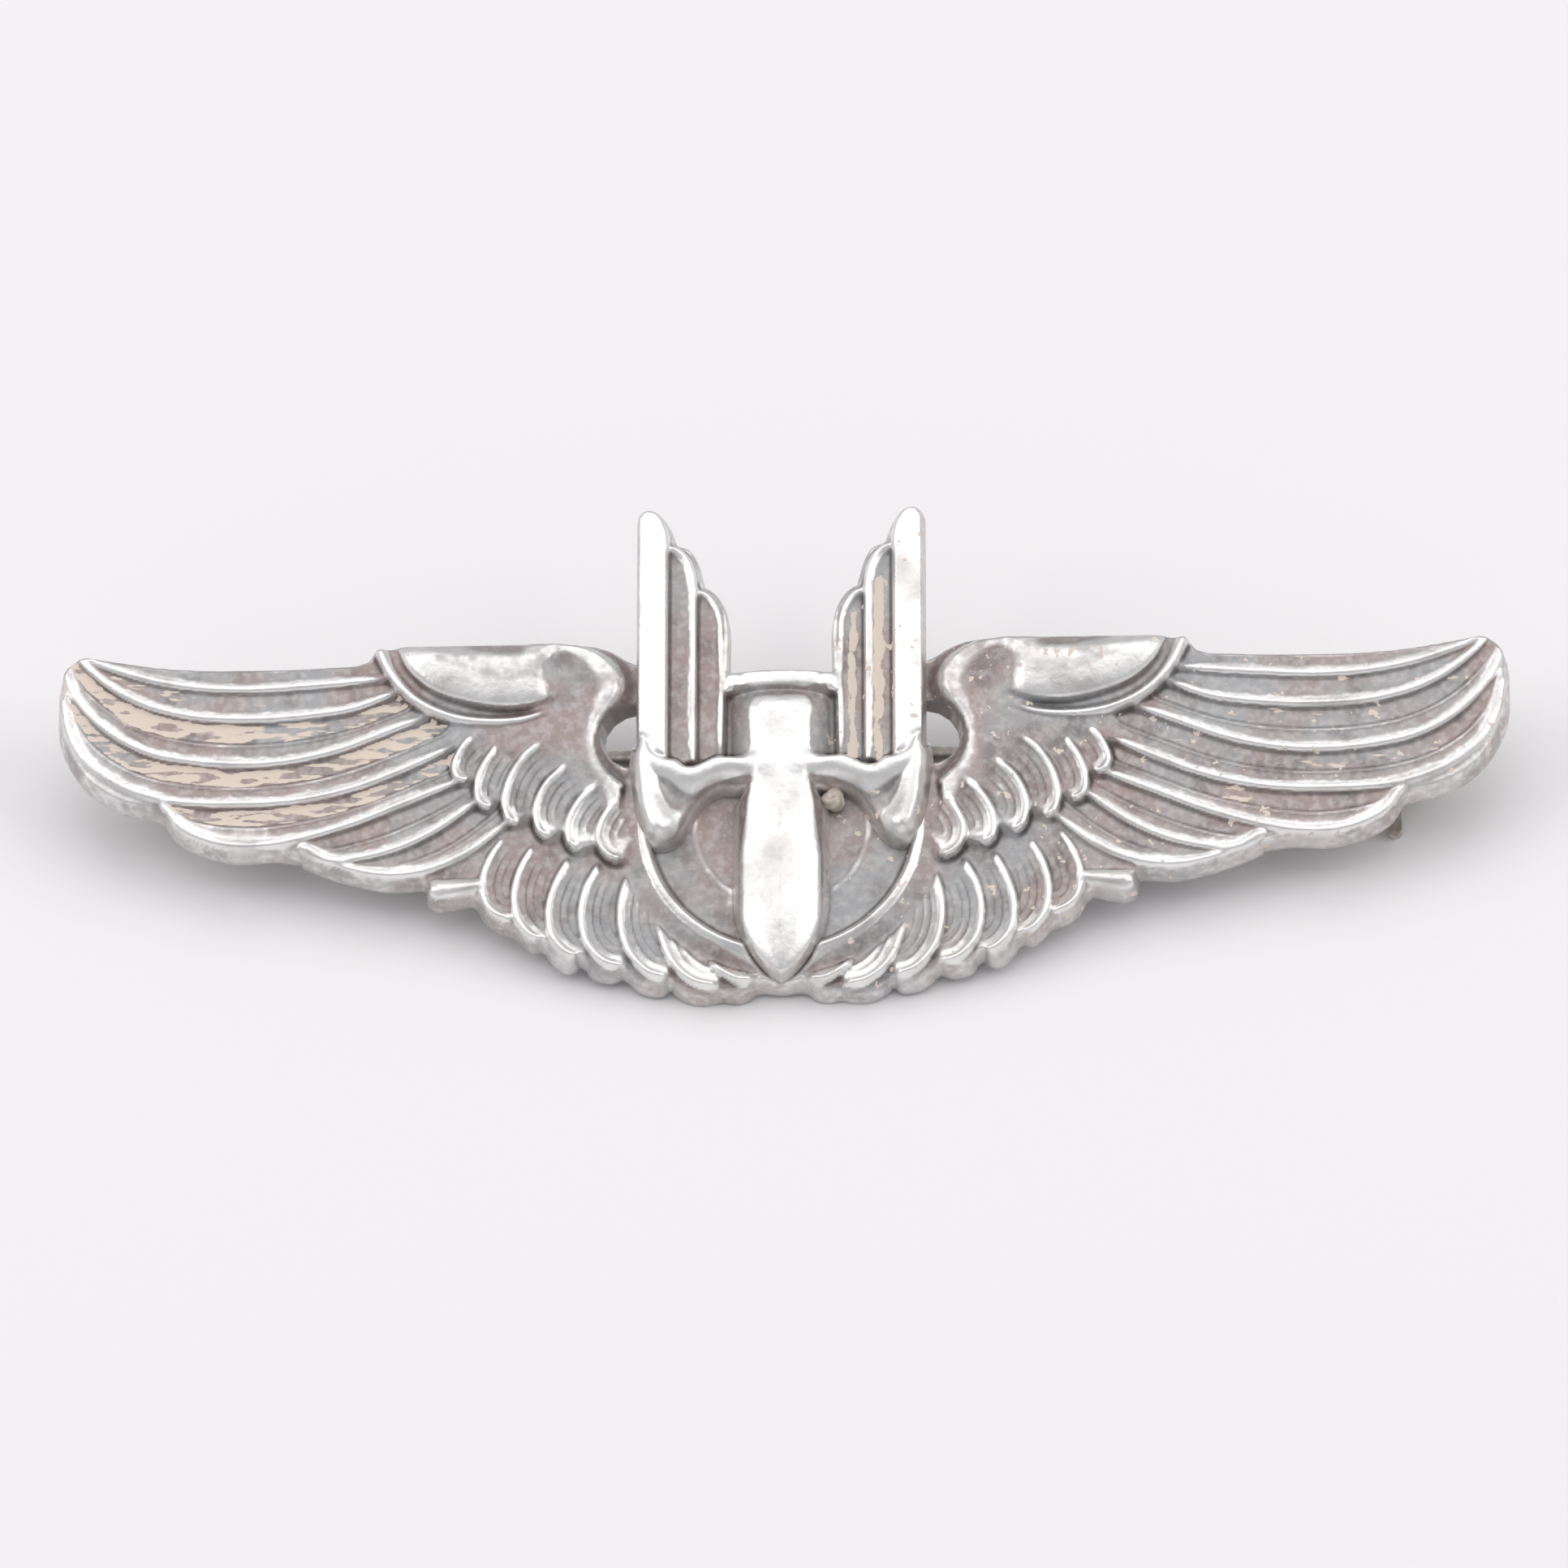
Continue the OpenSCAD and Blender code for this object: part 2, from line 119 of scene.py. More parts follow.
# Free edges of the short feathers, outermost first, each with the points that close it at its root.
KNOB_EDGE = [[15.6, -2.8], [17.2, -2.8], [18.3, -3], [18.5, -3.6], [18, -4], [15.9, -3.8]]
KNOB_ROOT = [[15, -3]]
LOW_ROW = [
    ([[14.5, -0.4], [15.4, -1.8], [15.75, -3.2], [15.5, -4.4], [14.9, -5], [14, -5.3]], [[11, -2]]),
    ([[13, -0.9], [13.8, -2.4], [14.1, -4], [13.7, -5.5], [13.1, -6.2], [12.2, -6.6]], [[10, -3]]),
    ([[11.1, -1.6], [11.9, -3.1], [12.3, -4.8], [12, -6.3], [11.2, -7.2], [10.1, -7.6]], [[9, -4]]),
    ([[9.5, -1.9], [10.3, -3.4], [10.6, -5.1], [10.2, -6.7], [9.3, -7.7], [8, -8.1]], [[7.5, -5]]),
    ([[8.1, -2.6], [8.5, -4.2], [8.5, -5.8], [7.9, -7.4], [6.9, -8.4], [5.8, -8.7]], [[5, -7]]),
    ([[6.6, -5.2], [6.3, -6.6], [5.4, -8.3], [4.4, -9], [3.2, -9.2]], [[2.8, -8.4]]),
    ([[4.1, -7.2], [3.2, -8.4], [2.2, -8.9], [1.2, -8.9]], [[1, -8.3]]),
]
HIGH_ROW = [
    ([[16, 5.2], [17, 4.1], [17.3, 3.1], [16.9, 2.4], [16.2, 2.2]], [[13, 3.4]]),
    ([[14.8, 4.7], [15.8, 3.1], [16.1, 1.9], [15.8, 1], [14.9, 0.7]], [[11, 2]]),
    ([[12.4, 4.7], [13.6, 3.7], [14.5, 2], [14.6, 0.8], [14.2, 0], [13.5, -0.2]], [[10, 1]]),
    ([[11, 3.5], [12.4, 2.2], [13, 0.5], [12.7, -0.6], [12, -1.1]], [[9, -0.5]]),
    ([[9.4, 2.5], [10.7, 1.2], [11.3, -0.2], [11.2, -1.2], [10.5, -1.8]], [[8, -1.5]]),
    ([[8.2, 1.8], [9.3, 0.5], [9.7, -0.7], [9.4, -1.7], [8.7, -2.2], [7.9, -2]], [[7.2, -1]]),
]
LOW_LEVEL = 1.7
HIGH_LEVEL = 2.1
LOW_RIBS = (0.65, 1.05, 1.5)  # how far each fine rib lies from the free edge
HIGH_RIBS = (0.65, 1.1, 1.6)
RIM_RISE = 0.24
FINE_RIB_RISE = 0.09

BULB_EDGE = [[20.4, 10.7], [20.1, 9.8], [19.7, 8.8], [18.7, 7.7], [16.8, 6.8], [14.4, 6.35], [12.9, 6.5],
             [11.8, 6.95], [11.2, 7.6]]
BULB_ROOT = [[11.3, 8.6], [10.6, 10.7]]
SCROLL_EDGE = [[21.7, 10.7], [21.3, 9.5], [20.8, 8.4], [19.5, 6.8], [17.6, 5.75], [15.4, 5.35],
               [13.2, 5.5], [11.4, 6.2]]
SCROLL_ROOT = [[12.6, 7], [12.8, 10.7]]
NECK_EDGE = [[16, 10.7], [13, 10.3], [11.2, 10.1], [9.8, 9.6], [8.8, 8.8], [8.4, 7.9], [8.5, 7.1],
             [9, 6.3], [9.5, 5.5], [9.7, 4.7], [9.55, 3.7], [9, 2.8], [8.2, 2.1], [7.3, 1.7]]
NECK_ROOT = [[7.3, -1], [10, -1], [17, 2.4], [18, 5.4], [17.4, 10.7]]
NECK_SLOPE = 1.15
BAND_LEVEL = 1.85
BULB_RISE = 0.5
BULB_ROUND = 2.4  # how far in from its edge the bulb is round

RING_IN = 6.85
RING_CREST = 7.15
RING_OUT = 8.5
RING_TOP = 2.0
RING_HIGHEST_Y = 6.5
DISC_LEVEL = 1.22
STEP_R = (4.3, 4.42)
STEP_LINE_R = 4.6
INNER_DISC_DROP = 0.1
UNDER_WINGS_LEVEL = 1.25  # the plate behind the small wings lies low enough to clear them

# ---------------------------------------------------------------- the winged bullet's shapes

DEVICE_GRID = (8.3, -9.2, 17.9)
DEVICE_STEP = 0.065
DEVICE_RUN = (0.12, 0.06)
SMALL_TOPS = [
    [[7.6, 3.8], [7.6, 16.8], [7.45, 17.12], [6.9, 17.18], [6.35, 17.1], [5.95, 16.7], [5.65, 16.1],
     [5.45, 15.5]],
    [[5.3, 15.4], [4.8, 15.2], [4.35, 14.5], [4.1, 13.6], [3.95, 13.05]],
    [[3.8, 13], [3.4, 12.7], [2.95, 12], [2.7, 11], [2.65, 9], [2.65, 8.2]],
]
SMALL_EDGES = [
    [[7.5, 3], [7.5, 16.8], [7.2, 17.1], [6.5, 17.05], [6.1, 16.6], [5.85, 15.9], [5.8, 14.5], [5.8, 3]],
    [[5.9, 15.25], [5.4, 15.1], [4.9, 14.7], [4.5, 13.9], [4.35, 12.9], [4.3, 11.5], [4.3, 3]],
    [[4.4, 12.85], [3.8, 12.6], [3.3, 12], [3.02, 11.2], [2.95, 10], [2.95, 3]],
]
SMALL_LEVELS = [1.8, 1.55, 1.3]
SMALL_CREST = [0.75, 0.2, 0.2]
FLUTE_DEPTH = 0.36
BAR_Y = (7.05, 8.2)
BAR_SAG = 0.22
BAR_LEVEL = 1.45
BAR_HALF = 2.95
WEB_LEVEL = 0.75
LOBE = [[7.75, 4.4], [7.95, 3.4], [7.85, 2], [7.6, 0.2], [7.2, -0.9], [6.6, -1.5], [5.9, -1.5],
        [5.3, -1.1], [4.8, -0.4], [4.3, 0.5], [3.7, 1.2], [3.1, 1.5], [2.35, 1.5]]
LIP = [[7.75, 4.5], [7.3, 4.5], [6.9, 4.2], [6.55, 3.55], [6, 3.3], [5.4, 3.2], [4.9, 2.85], [4.5, 2.85],
       [4, 3.1], [3.4, 3.35], [2.6, 3.35], [1.2, 3.4]]
LOBE_CREST = [[7.15, 4.3], [7.2, 2.6], [7, 0.9], [6.5, -0.4]]
LIP_CREST = [[7.3, 4.1], [6.5, 3.1], [5.6, 2.75], [4.7, 2.4], [4, 2.65], [3.2, 2.95], [0.4, 2.95]]
LOBE_RISE = 1.93
LOBE_HOLLOW = 0.65
NECK_HALF = 1.5
NECK_FOOT = 2.6  # half the width over which the neck melts into the web
NECK_TOP = 7.3
NECK_END_RISE = 1.1
NECK_START = (0.9, 2.4)  # where the neck rises out of the body
BODY_HALF = 2.5
BODY_TOP = (2.3, 0.7)
BODY_BLEND = 0.4  # how softly the body and what lies around it run together
BULLET_RISE = 1.93
BULLET_SIDE = 0.25  # share of the bullet's height where its drafted side meets the foot
JUNCTION = (3, 0.9)  # where the bar's lip crosses the bullet, and how far its soft corners reach
NOSE_START = -4.2
NOSE_TIP = -8.8
NOSE_TIP_RISE = 0.65  # share of the bullet's height left at the tip

# ---------------------------------------------------------------- curve and grid helpers


def spline(points, steps=8):
    """A smooth run through the points, its slope at each one led by the shorter neighbour."""
    points = np.array(points, float)
    chord = np.diff(points, axis=0)
    length = np.hypot(*chord.T)[:, None]
    slope = chord / length
    inner = (slope[:-1] * length[1:] + slope[1:] * length[:-1]) / (length[1:] + length[:-1])
    tangent = np.concatenate([slope[:1], inner, slope[-1:]])
    t = np.linspace(0, 1, steps, endpoint=False)[:, None]
    runs = []
    for k, reach in enumerate(length):
        ahead = (3 - 2 * t) * t * t
        bend = t * (1 - t) * ((1 - t) * tangent[k] - t * tangent[k + 1])
        runs.append(points[k] + ahead * chord[k] + reach * bend)
    return np.concatenate([*runs, points[-1:]])


def smoothstep(low, high, value):
    t = np.clip((value - low) / (high - low), 0, 1)
    return t * t * (3 - 2 * t)


def bump(value, centre, width):
    return np.exp(-((value - centre) / width) ** 2)


def nearest(x, y, line):
    """Distance from each point to a polyline, and how far along it, 0 to 1, the nearest spot lies."""
    best = np.full(x.shape, np.inf)
    along = np.zeros(x.shape)
    lengths = np.hypot(*np.diff(line, axis=0).T)
    done = 0
    for a, b, length in zip(line, line[1:], lengths):
        dx, dy = b - a
        t = np.clip(((x - a[0]) * dx + (y - a[1]) * dy) / max(length ** 2, 1e-12), 0, 1)
        d = np.hypot(x - a[0] - t * dx, y - a[1] - t * dy)
        closer = d < best
        best = np.where(closer, d, best)
        along = np.where(closer, (done + t * length) / lengths.sum(), along)
        done += length
    return best, along


def distance(x, y, line):
    return nearest(x, y, line)[0]


def inside(x, y, loop):
    """True where a point lies inside the closed loop."""
    result = np.zeros(x.shape, bool)
    for (ax, ay), (bx, by) in zip(loop, np.roll(loop, -1, 0)):
        if ay != by:
            crosses = (ay > y) != (by > y)
            result ^= crosses & (x < (bx - ax) * (y - ay) / (by - ay) + ax)
    return result


def blurred(field, radius):
    """The field smoothed by a Gaussian of that radius, in cells."""
    pad = int(3 * radius) + 1
    wide = np.pad(field, pad, mode="edge")
    fx = np.fft.fftfreq(wide.shape[0])[:, None]
    fy = np.fft.rfftfreq(wide.shape[1])[None, :]
    spectrum = np.fft.rfft2(wide) * np.exp(-2 * (math.pi * radius) ** 2 * (fx ** 2 + fy ** 2))
    return np.fft.irfft2(spectrum, wide.shape)[pad:-pad, pad:-pad]


class Relief:
    """Heights over a grid on the right-hand half of a struck piece, painted from back to front."""

    def __init__(self, width, low, high, step):
        self.step = step
        self.x, self.y = np.meshgrid(np.arange(0, width + step, step), np.arange(low, high, step),
                                     indexing="ij")
        self.z = np.zeros(self.x.shape)
        self.dirt = np.zeros(self.x.shape)
        self.tone = np.zeros(self.x.shape)
        self.mark = np.zeros(self.x.shape)

    def near(self, points, margin):
        """The part of the grid around the points, as an index."""
        low = np.min(points, 0) - margin
        high = np.max(points, 0) + margin
        i = slice(max(int(low[0] / self.step), 0), max(int(high[0] / self.step) + 2, 1))
        j0 = int((low[1] - self.y[0, 0]) / self.step)
        j1 = int((high[1] - self.y[0, 0]) / self.step) + 2
        return i, slice(max(j0, 0), max(j1, 1))

    def lay(self, edge, root, height, fade=0.0, dirt=None, tone=None, mark=None):
        """Lays a shape over what is there, melting into it within fade of the root.

        height, dirt, tone (extra toning, and on the bullet a painted darker reflection) and mark
        (engraved lines) are functions of the distance from the free edge, the place along it, x and y.
        """
        edge = spline(edge)
        loop = np.concatenate([edge, np.array(root, float)])
        part = self.near(loop, 0.3)
        x, y = self.x[part], self.y[part]
        d, along = nearest(x, y, edge)
        within = inside(x, y, loop)
        soft = 0.6 * self.step
        cover = smoothstep(-soft, soft, np.where(within, d, -d))
        if fade:
            cover *= smoothstep(0, fade, distance(x, y, np.array([edge[-1], *root, edge[0]], float)))
        d = np.where(within, d, 0)
        fields = (self.z, self.dirt, self.tone, self.mark)
        for field, laid in zip(fields, (height, dirt, tone, mark)):
            value = laid(d, along, x, y) if laid else 0
            field[part] += cover * (value - field[part])


# ---------------------------------------------------------------- the plate's relief


def plate_outline():
    runs = [np.array(TOP_FOOT[:3]), spline(TOP_FOOT[2:]), spline(LEADING_FOOT), spline(TIP_FOOT)]
    runs += [spline(lobe) for lobe in LOBE_FEET]
    return np.concatenate(runs)


def lay_long_feathers(relief):
    """The long feathers, lowest first. Each hollow rises to a sharp ridge on the free edge."""
    uppers = [LONG_TOP] + LONG_EDGES[:-1]
    for k in reversed(range(len(LONG_EDGES))):
        upper = spline(uppers[k])
        ribbed = 1.0 if k >= RIBBED_FROM else 0.0

        def height(d, along, x, y, upper=upper, ribbed=ribbed):
            to_upper = distance(x, y, upper)
            width = np.maximum(d + to_upper, 0.01)
            u = d / width
            flank = 1 / (1 + (np.maximum(d - LONG_CREST, 0) / LONG_FLANK) ** 2)
            ridge = LONG_RIDGE * flank * (1 - 0.1 * np.clip(1 - d / LONG_CREST, 0, 1) ** 2)
            room = ribbed * smoothstep(*RIB_ROOM, width)
            rib = RIB_RISE * bump((u - 0.5) * width, 0, RIB_WIDTH)
            midrib = room * (rib - RIB_STEP * smoothstep(0.46, 0.54, u))
            lean = -0.05 * smoothstep(0.3, 1, u) - 0.08 * bump(to_upper, 0, 0.13)
            return LONG_LEVEL + ridge + midrib + lean

        def dirt(d, along, x, y, upper=upper, amount=LONG_DIRT[k]):
            to_upper = distance(x, y, upper)
            u = d / np.maximum(d + to_upper, 0.01)
            bands = 0.86 - 0.14 * bump(u, 0.74, 0.09)
            return amount * bands * smoothstep(0.45, 0.6, u) * smoothstep(0, 0.12, to_upper)

        def tone(d, along, x, y):
            return 0.1 * smoothstep(0.3, 0.7, d)

        def mark(d, along, x, y, upper=upper, ribbed=ribbed):
            to_upper = distance(x, y, upper)
            width = d + to_upper
            off_rib = d - 0.5 * width
            lines = bump(off_rib, -LINE_GAP, LINE_WIDTH) + bump(off_rib, LINE_GAP, LINE_WIDTH)
            return 0.5 * ribbed * lines * smoothstep(*RIB_ROOM, width)

        relief.lay(LONG_EDGES[k], LONG_ROOT, height, 0, dirt, tone, mark)


def shoulder_level(x, y):
    """The smooth face the upper feathers grow from, highest a little way out from the neck."""
    outward = -0.05 * (x - 9)
    upward = 0.02 * np.clip(y, -2, 8)
    at_neck = -0.3 * smoothstep(10.8, 8, x - 0.4 * y)
    return HIGH_LEVEL + 0.12 + outward + upward + at_neck


def low_level(x, y):
    """The face the lower feathers grow from, falling slightly towards the tip."""
    return LOW_LEVEL - 0.03 * (x - 10)


def lay_short_feathers(relief, row, level, ribs, fade):
    """A row of short feathers, outermost first: a bright rim, then fine ribs that follow it."""
    for edge, root in row:

        def height(d, along, x, y):
            taper = smoothstep(-0.05, 0.35, along) * smoothstep(1.05, 0.85, along)
            rim = RIM_RISE * taper * bump(d, 0.15, 0.15)
            dish = -0.13 * smoothstep(0.2, 0.55, d) - 0.07 * np.minimum(d, 2.5)
            fine_ribs = sum(FINE_RIB_RISE * bump(d, rib, 0.08) for rib in ribs)
            return level(x, y) + rim + dish + fine_ribs * taper

        def mark(d, along, x, y):
            ends = smoothstep(0.02, 0.25, along) * smoothstep(1, 0.8, along)
            return ends * sum(0.5 / rib ** 0.5 * bump(d, rib + LINE_GAP, LINE_WIDTH) for rib in ribs)

        relief.lay(edge, root, height, fade, mark=mark)


def lay_knob(relief):
    """The rounded end of a covered feather, between the long feathers and the lower row."""

    def height(d, along, x, y):
        return 1.3 + 0.5 * (np.clip(d / 0.6, 0, 1)) ** 0.5

    relief.lay(KNOB_EDGE, KNOB_ROOT, height, 0.4)


def lay_neck(relief):
    """The smooth neck from the bulb down past the hole, with its wide drafted wall to the middle."""

    def height(d, along, x, y):
        rounding = 0.2 * np.clip(1 - d / 0.4, 0, 1) ** 2
        return shoulder_level(x, y) + 0.1 - rounding - 0.15 * smoothstep(0.5, 3, d)

    def tone(d, along, x, y):
        return 0.15 + 0.3 * smoothstep(0.05, 0.3, d)

    relief.lay(NECK_EDGE, NECK_ROOT, height, 1.2, tone=tone)
    edge = spline(NECK_EDGE)
    loop = np.concatenate([edge, np.array(NECK_ROOT, float)])
    beside = ~inside(relief.x, relief.y, loop) & (relief.x < 11) & (relief.y > 1.6)
    fall = shoulder_level(relief.x, relief.y) - 0.15 - NECK_SLOPE * distance(relief.x, relief.y, edge)
    relief.z = np.where(beside, np.maximum(fall, 1.2), relief.z)
    relief.tone = np.where(beside, 0.4, relief.tone)


def lay_shoulder(relief):
    """The rolled shoulder: an outer band, a groove and a smooth bulb that melts into the neck."""

    def band(d, along, x, y):
        return BAND_LEVEL + 0.35 * bump(d, 0.3, 0.24) - 0.12 * smoothstep(0.5, 0.8, d)

    def bulb(d, along, x, y):
        dome = (1 - (1 - np.clip(d / BULB_ROUND, 0, 1)) ** 2.4) ** 0.6
        return HIGH_LEVEL + BULB_RISE * dome - 0.3 * smoothstep(2, 4, d)

    def bulb_tone(d, along, x, y):
        return 0.5 * smoothstep(0.6, 1.8, d)

    relief.lay(SCROLL_EDGE, SCROLL_ROOT, band, 1.2)
    relief.lay(BULB_EDGE, BULB_ROOT, bulb, 1.8, tone=bulb_tone)


def lay_ring(relief):
    """The ring around the recessed disc, with the disc's inner step."""
    r = np.hypot(relief.x, relief.y)
    disc = DISC_LEVEL - INNER_DISC_DROP * (1 - smoothstep(*STEP_R, r)) + 0.04 * bump(r, STEP_LINE_R, 0.1)
    inner = disc + (RING_TOP - DISC_LEVEL) * smoothstep(RING_IN - 0.15, RING_CREST, r)
    outer = RING_TOP - 0.28 * smoothstep(RING_CREST, RING_CREST + 0.4, r)
    outer = outer - 0.25 * smoothstep(7.5, RING_OUT, r)
    ring = np.where(r < RING_CREST, inner, outer)
    relief.z = np.where((r < RING_OUT) & (relief.y < RING_HIGHEST_Y), ring, relief.z)
    toned = 0.5 * smoothstep(RING_CREST + 0.15, RING_CREST + 0.5, r)
    relief.tone = np.where(r < RING_OUT, toned, relief.tone)
    under_bullet = smoothstep(0.05, -0.1, relief.x - bullet_half_width(relief.y)) * (relief.y < 0)
    relief.z += under_bullet * (np.minimum(relief.z, DISC_LEVEL - 0.1) - relief.z)


def lower_behind_wings(relief):
    """Lowers the plate behind the small wings."""
    r = np.hypot(relief.x, relief.y)
    behind = smoothstep(7.9, 7.5, relief.x) * smoothstep(2.4, 3.2, relief.y) * (r > RING_IN)
    relief.z += behind * (np.minimum(relief.z, UNDER_WINGS_LEVEL) - relief.z)


def plate_relief():
    relief = Relief(*PLATE_GRID, PLATE_STEP)
    relief.z = np.minimum(BASE_LEVEL, 0.3 + 4 * distance(relief.x, relief.y, plate_outline()))
    lay_long_feathers(relief)
    lay_short_feathers(relief, LOW_ROW, low_level, LOW_RIBS, 0.5)
    lay_knob(relief)
    lay_neck(relief)
    lay_ring(relief)
    lay_short_feathers(relief, HIGH_ROW, shoulder_level, HIGH_RIBS, 0.7)
    lay_shoulder(relief)
    lower_behind_wings(relief)
    relief.z = blurred(relief.z, 0.7)
    return relief


# ---------------------------------------------------------------- the winged bullet's relief


def along_nose(y):
    """How far down the nose each height lies, from 0 where it starts to 1 at the tip."""
    return np.clip((NOSE_START - y) / (NOSE_START - NOSE_TIP), 0, 1)


def bullet_half_width(y):
    """Half the bullet's width at each height: the neck, the body and the nose."""
    body = BODY_HALF * (1 - along_nose(y) ** 2) ** 0.72
    shoulder = smoothstep(BODY_TOP[1], BODY_TOP[0], y)
    return np.maximum(body + (NECK_HALF - BODY_HALF) * shoulder, 0.001)


def device_outline():
    """The right half, from the bar's top out over the small wing, then down the lobe and the bullet."""
    bar_top = np.array([[0, BAR_Y[1]], [2.7, BAR_Y[1] - 0.1]])
    plank_side = np.array(SMALL_TOPS[0][:1])
    feather_tops = [spline(SMALL_TOPS[2]), spline(SMALL_TOPS[1]), spline(SMALL_TOPS[0][1:])]
    levels = np.linspace(NOSE_TIP, LOBE[-1][1], 40)
    bullet = np.stack([bullet_half_width(levels), levels], 1)
    tops = [top[::-1] for top in feather_tops]
    return np.concatenate([bar_top, *tops, plank_side, spline(LOBE), bullet[::-1]])


def lay_small_wings(relief):
    """Three straight feathers: a flat plank, then two flutes that each rise to a thin inner ridge."""
    for k, (edge, level, crest) in enumerate(zip(SMALL_EDGES, SMALL_LEVELS, SMALL_CREST)):

        def height(d, along, x, y, level=level, crest=crest, plank=k == 0):
            if plank:
                return level - 0.2 * np.clip(1 - d / 0.3, 0, 1) ** 2 + 0.03 * bump(d, crest, 0.3)
            ridge = 1 / (1 + (np.maximum(d - crest, 0) / 0.22) ** 2)
            return level - FLUTE_DEPTH + FLUTE_DEPTH * ridge - 0.1 * np.clip(1 - d / crest, 0, 1) ** 2

        def dirt(d, along, x, y, plank=k == 0):
            return 0 if plank else 1.12 * bump(d, 0.85, 0.42) * smoothstep(15.5, 14.5, y + 1.6 * k)

        def tone(d, along, x, y, plank=k == 0):
            return -0.25 if plank else 0.05

        relief.lay(edge, [[edge[0][0], edge[-1][1]]], height, 0, dirt, tone)


def lay_bar(relief):
    """The bar that joins the small wings above the bullet."""
    x, y = relief.x, relief.y
    foot = BAR_Y[0] - BAR_SAG * (x / 3) ** 2
    across = np.clip(np.abs((y - foot) / (BAR_Y[1] - BAR_Y[0]) - 0.5) * 2, 0, 1)
    height = BAR_LEVEL - 0.25 * across ** 4 + 0.15 * smoothstep(2.2, 1.9, x)
    on_bar = smoothstep(-0.04, 0.04, y - foot) * smoothstep(BAR_HALF, BAR_HALF - 0.1, x)
    relief.z += on_bar * (height - relief.z)


def lay_lobe(relief):
    """The curled root of each small wing: a thick lip on top, a crest outside, a hollow between."""
    x, y = relief.x, relief.y
    foot = spline(LOBE)
    lip = spline(LIP)
    loop = np.concatenate([foot, [[0.4, LOBE[-1][1]], [0.4, LIP[-1][1]]], lip[::-1]])
    within = inside(x, y, loop)
    to_foot = distance(x, y, foot)
    to_lip = distance(x, y, lip)
    to_crest = np.minimum(distance(x, y, spline(LOBE_CREST)), distance(x, y, spline(LIP_CREST)))
    round_foot = (1 - (1 - np.clip(to_foot / 0.9, 0, 1)) ** 2) ** 0.5
    round_lip = 0.7 + 0.3 * (1 - (1 - np.clip(to_lip / 0.4, 0, 1)) ** 2) ** 0.5
    dip = LOBE_HOLLOW * smoothstep(0.15, 1.5, to_crest)
    lobe = (LOBE_RISE - dip) * np.minimum(round_foot, round_lip)
    cover = smoothstep(-0.04, 0.04, np.where(within, to_lip, -to_lip))
    cover = np.where(within | (to_foot > 0.3), cover, 1)
    relief.z += cover * (np.where(within, lobe, np.minimum(lobe, relief.z)) - relief.z)
    relief.tone += 0.25 * smoothstep(0.6, 1.5, to_crest) * within


def crown_half_width(half, y):
    """Half the width of the bullet's rounded top, between its drafted sides."""
    return np.minimum(1.6 + 0.12 * np.clip(1.4 - y, 0, 3.6), 0.88 * half)


def bullet_body(x, y, half):
    """Height of the body and nose: a rounded top, then drafted sides down to the foot."""
    rise = BULLET_RISE * (NOSE_TIP_RISE + (1 - NOSE_TIP_RISE) * (1 - along_nose(y) ** 2) ** 0.6)
    crown_half = crown_half_width(half, y)
    side = np.clip((half - x) / (half - crown_half), 0, 1)
    crown = 1 - (0.06 + 0.22 * smoothstep(2.5, -0.5, y)) * np.minimum(x / crown_half, 1) ** 2
    return rise * crown * (BULLET_SIDE + (1 - BULLET_SIDE) * side) * (x < half)


def bullet_neck(x, y):
    """Height of the neck: highest in the middle, melting into the web, lower at its top end."""
    rise = NECK_END_RISE + (BULLET_RISE - NECK_END_RISE) * smoothstep(NECK_TOP, NECK_TOP - 1.5, y) ** 0.6
    neck = WEB_LEVEL + (rise - WEB_LEVEL) * (1 - np.clip(x / NECK_FOOT, 0, 1) ** 3)
    return neck * smoothstep(*NECK_START, y)


def lay_bullet(relief):
    """The bullet: a soft neck between the small wings, then a body with drafted sides and a nose."""
    x, y = relief.x, relief.y
    half = bullet_half_width(y)
    body = bullet_body(x, y, half)
    around = np.where(y > 1.3, relief.z, 0)
    apart = np.clip(0.5 + 0.5 * (body - around) / BODY_BLEND, 0, 1)
    joined = around + apart * (body - around) + BODY_BLEND * apart * (1 - apart)
    in_body = (x < half + 0.4) & (y < 3.9)
    in_neck = (x < NECK_FOOT) & (y > NECK_START[0]) & (y < NECK_TOP)
    relief.z = np.where(in_body, np.maximum(joined, around), relief.z)
    relief.z = np.where(in_neck, np.maximum(relief.z, bullet_neck(x, y)), relief.z)
    junction = bump(y, *JUNCTION) * smoothstep(2.6, 1.8, x)
    relief.z += junction * (blurred(relief.z, 4) - relief.z)


def tone_bullet(relief):
    """Bright along the bullet; toned beside its neck and down its sides; a faint painted darker
    reflection down the middle of the body and nose.
    """
    x, y = relief.x, relief.y
    half = bullet_half_width(y)
    crown_half = crown_half_width(half, y)
    on_bullet = smoothstep(half, half - 0.15, x) * (y < NECK_TOP)
    relief.tone *= 1 - on_bullet
    beside_neck = smoothstep(1.2, 2, x) * smoothstep(2.6, 2.3, x) * smoothstep(3.6, 4, y) * (y < NECK_TOP)
    wall = smoothstep(crown_half - 0.05, crown_half + 0.15, x) * (x < half)
    wall = wall * smoothstep(-5.6, -4, y) * (y < 1.6)
    # painted reflection: a darker strip down the middle of the nose
    tip = smoothstep(0.6, 0.35, x / half) * smoothstep(-4.6, -6, y) * smoothstep(-8.5, -7.9, y)
    # painted reflection: a faint darker strip down the middle of the body
    middle = bump(x, 0, 0.6) * on_bullet * smoothstep(2, 0.5, y)
    relief.tone += 0.8 * beside_neck + 0.8 * wall + 0.15 * tip + 0.12 * middle
    relief.tone -= 0.7 * smoothstep(1.7, 1.3, x) * bump(y, 3.2, 1.2)


